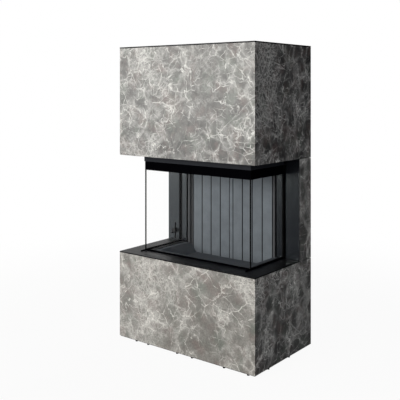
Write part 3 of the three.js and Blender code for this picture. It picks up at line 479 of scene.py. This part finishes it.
mounts = {mount["name"]: Vector(mount["pos_m"]) for mount in frame["record"]["mounts"]}
flue_rim = mounts["flue_rim"]
inlet_rim = mounts["air_inlet_rim"]
flue_bore = 0.087
inlet_bore = 0.048
bead_depth = 0.018
bead_radius = 0.0025
bead_steps = 8
seal_depth = 0.012
seal_lip = 0.003
seal_count = 3
seal_pitch = 0.005
seal_back_share = 0.7
seal_top_share = 1.2
seal_end_share = 1.4
screw_radius = 0.0045
screw_rise = 0.00025
socket_floor = 0.00005
socket_share = 0.5
socket_floor_share = 0.9
crown_share = 0.94
screw_inset = 0.012
screw_rows = 7
screw_columns = 4
ring_steps = 96
small_ring_steps = 24

# The feet's radius, setback and shares repeat those of the solids' screw feet
cap_radius = 0.0065
cap_height = 0.0046
cap_round = 0.001
foot_radius = 0.0045
foot_setback = 0.009
front_foot_shares = (-0.365, -0.27, -0.045, 0.065, 0.29, 0.45)
side_foot_shares = (0.24, 0.6)
rear_foot_shares = (-0.4, 0.4)


def turned(name, profile, centre, axis, material, steps, closed=True):
    """The profile's radius and height pairs turned round the z or the y axis through the centre."""
    mesh = bpy.data.meshes.new(name)
    shape = bmesh.new()
    rings = []
    for i in range(steps):
        angle = math.tau * i / steps
        ring = []
        for radius, height in profile:
            across, up = radius * math.cos(angle), radius * math.sin(angle)
            place = (across, up, height) if axis == "z" else (across, height, -up)
            ring.append(shape.verts.new(centre + Vector(place)))
        rings.append(ring)
    last = len(profile) if closed else len(profile) - 1
    for i, ring in enumerate(rings):
        following = rings[(i + 1) % steps]
        for j in range(last):
            k = (j + 1) % len(profile)
            shape.faces.new((ring[j], following[j], following[k], ring[k]))
    if not closed:
        shape.faces.new([ring[0] for ring in rings])
        shape.faces.new([ring[-1] for ring in rings])
    bmesh.ops.recalc_face_normals(shape, faces=shape.faces)
    shape.to_mesh(mesh)
    shape.free()
    mesh.materials.append(material)
    made = bpy.data.objects.new(name, mesh)
    scene.collection.objects.link(made)
    smooth = made.modifiers.new("smooth", "NODES")
    smooth.node_group = smooth_group
    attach(made, "body")


def flue_bead():
    """A rolled stop bead inside the flue collar."""
    angles = [math.pi * (0.5 + i / bead_steps) for i in range(bead_steps + 1)]
    profile = [(flue_bore + bead_radius * math.cos(a), bead_radius * math.sin(a)) for a in angles]
    centre = Vector((0, flue_rim.y, flue_rim.z - bead_depth))
    turned("flue_bead", profile, centre, "z", black_steel, ring_steps)


def inlet_seal(i):
    """One lip of the rubber seal inside the air spigot."""
    tip = inlet_bore - seal_lip
    back = inlet_bore - seal_lip * seal_back_share
    profile = [(inlet_bore, 0), (tip, seal_lip), (back, seal_lip * seal_top_share),
               (inlet_bore, seal_lip * seal_end_share)]
    centre = Vector((0, inlet_rim.y - seal_depth - i * seal_pitch, inlet_rim.z))
    turned(f"inlet_seal_{i + 1}", profile, centre, "y", dark_sealant, ring_steps)


def screw(name, x, y, z):
    """A flat-headed screw with a round socket, its head on the rear face."""
    socket = screw_radius * socket_share
    crown = screw_radius * crown_share
    profile = [(screw_radius, 0), (crown, screw_rise), (socket, screw_rise),
               (socket * socket_floor_share, socket_floor)]
    turned(name, profile, Vector((x, y, z)), "y", bare_steel, small_ring_steps, closed=False)


def rear_screws():
    """Screws along the sides, the foot and the head of the rear panel."""
    low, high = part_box("rear_panel")
    left, right = low[0] + screw_inset, high[0] - screw_inset
    foot, head = low[2] + screw_inset, high[2] - screw_inset
    rise = (head - foot) / (screw_rows - 1)
    span = (right - left) / (screw_columns - 1)
    places = [(x, foot + i * rise) for i in range(screw_rows) for x in (left, right)]
    places += [(left + i * span, z) for i in range(1, screw_columns - 1) for z in (foot, head)]
    for i, (x, z) in enumerate(places):
        screw(f"rear_screw_{i + 1:02}", x, high[1], z)


def foot_caps():
    """A rubber cap round each screw foot."""
    width, depth = cad_high[0] - cad_low[0], cad_high[1] - cad_low[1]
    front, rear = cad_low[1] + foot_setback, cad_high[1] - foot_setback
    left, right = cad_low[0] + foot_setback, cad_high[0] - foot_setback
    places = [(share * width, front) for share in front_foot_shares]
    places += [(share * width, rear) for share in rear_foot_shares]
    places += [(x, cad_low[1] + share * depth) for x in (left, right) for share in side_foot_shares]
    profile = [(foot_radius, 0), (cap_radius, 0), (cap_radius, cap_height - cap_round),
               (cap_radius - cap_round, cap_height), (foot_radius, cap_height)]
    for i, (x, y) in enumerate(places):
        centre = Vector((x, y, cad_low[2]))
        turned(f"foot_cap_{i + 1:02}", profile, centre, "z", foot_rubber, small_ring_steps)


foot_caps()
flue_bead()
for i in range(seal_count):
    inlet_seal(i)
rear_screws()


# Camera, level and fitted to the photograph

camera_place = (2.2864, -3.0340, 1.3800)
camera_turn = 38.14
camera_lens = 62.6
camera_sensor = 36
camera_shift = (0.0004, -0.2797)
camera_reach = 200
camera = bpy.data.objects.new("camera", bpy.data.cameras.new("camera"))
scene.collection.objects.link(camera)
camera.location = camera_place
camera.rotation_euler = (math.radians(90), 0, math.radians(camera_turn))
camera.data.lens = camera_lens
camera.data.sensor_width = camera_sensor
camera.data.shift_x, camera.data.shift_y = camera_shift
camera.data.clip_end = camera_reach
scene.camera = camera


# Lamps

def lamp(name, at, aim, width, height, radiance, colour=(1, 1, 1)):
    """A soft rectangular lamp at one point, aimed at another."""
    data = bpy.data.lights.new(name, "AREA")
    data.shape = "RECTANGLE"
    data.size = width
    data.size_y = height
    data.energy = radiance * math.pi * width * height
    data.color = colour
    made = bpy.data.objects.new(name, data)
    scene.collection.objects.link(made)
    made.location = at
    made.rotation_euler = (Vector(aim) - Vector(at)).to_track_quat("-Z", "Y").to_euler()


warm_white = (1.0, 0.98, 0.92)
body_middle = (0, 0, 0.8)
lamp("key", at=(-3.9, -5.4, 1.4), aim=(0, 0, 0.9), width=3.4, height=1.8, radiance=7.5,
     colour=warm_white)
lamp("front", at=(-0.9, -6.2, 2.3), aim=body_middle, width=3.0, height=2.4, radiance=11.4,
     colour=warm_white)
lamp("fill", at=(5.5, -2.0, 2.2), aim=body_middle, width=2.5, height=2.5, radiance=1.1)
lamp("rear", at=(-0.7, 5.0, 4.0), aim=(-0.2, 0, 1.0), width=2.2, height=3.0, radiance=5.0)


# Floor and world: white to the camera, and in mirrors white at the left and behind and dim elsewhere

bright_side = (-0.985, 0.174, 0)
mirror_dark = 0.05
mirror_start = 0.38
mirror_full = 0.48
room_level = 0.2
floor_radius = 14.0
floor_steps = 96
floor_tones = (0.62, 0.66)
shadow_reach = 1.0
shadow_end = 3.2
shadow_share = 0.06


def mirrored_level(g, direction):
    """What a mirror sees in a direction from the object's middle."""
    even = g.node("VectorMath", {"operation": "NORMALIZE"})
    g.put(even.inputs[0], direction)
    towards = g.node("VectorMath", {"operation": "DOT_PRODUCT"})
    g.put(towards.inputs[0], even.outputs["Vector"])
    towards.inputs[1].default_value = bright_side
    return g.ramp(towards.outputs["Value"], mirror_start, mirror_full, mirror_dark, 1.0)


def studio_world():
    world = bpy.data.worlds.new("studio")
    world.use_nodes = True
    scene.world = world
    g = Graph.on(world.node_tree, "ShaderNodeOutputWorld")
    sight = g.node("LightPath")
    seen = g.larger(sight.outputs["Is Camera Ray"], sight.outputs["Is Transmission Ray"])
    mirrored = mirrored_level(g, g.node("TexCoord").outputs["Generated"])
    level = g.blend(sight.outputs["Is Glossy Ray"], room_level, mirrored)
    level = g.blend(seen, level, 1.0)
    g.finish(g.node("Background", Color=(1, 1, 1), Strength=level).outputs[0])


def studio_floor():
    """A pale round floor that keeps the object's shadow near it and fades to white further out."""
    mesh = bpy.data.meshes.new("studio_floor")
    shape = bmesh.new()
    bmesh.ops.create_circle(shape, cap_ends=True, segments=floor_steps, radius=floor_radius)
    shape.to_mesh(mesh)
    shape.free()
    made = bpy.data.objects.new("studio_floor", mesh)
    scene.collection.objects.link(made)
    g = Graph("pale_floor")
    base = g.place()
    away = g.node("VectorMath", {"operation": "LENGTH"})
    g.put(away.inputs[0], base)
    dull, light = [(tone, tone, tone) for tone in floor_tones]
    paint = g.mix(g.ramp(g.noise(base, 3.0, 3.0), 0.3, 0.7), dull, light)
    lit = g.node("BsdfDiffuse", Color=paint)
    rays = g.node("LightPath")
    glossy = rays.outputs["Is Glossy Ray"]
    white = g.node("Emission", Color=(1, 1, 1), Strength=g.blend(glossy, 1.0, mirrored_level(g, base)))
    seen = g.larger(rays.outputs["Is Camera Ray"], rays.outputs["Is Transmission Ray"])
    shown = g.ramp(away.outputs["Value"], shadow_reach, shadow_end, 1.0 - shadow_share, 1.0)
    share = g.larger(g.times(seen, shown), glossy)
    both = g.node("MixShader")
    g.put(both.inputs[0], share)
    g.put(both.inputs[1], lit.outputs[0])
    g.put(both.inputs[2], white.outputs[0])
    mesh.materials.append(g.finish(both.outputs[0]))


studio_world()
studio_floor()


# Close

scene.view_settings.view_transform = "Standard"
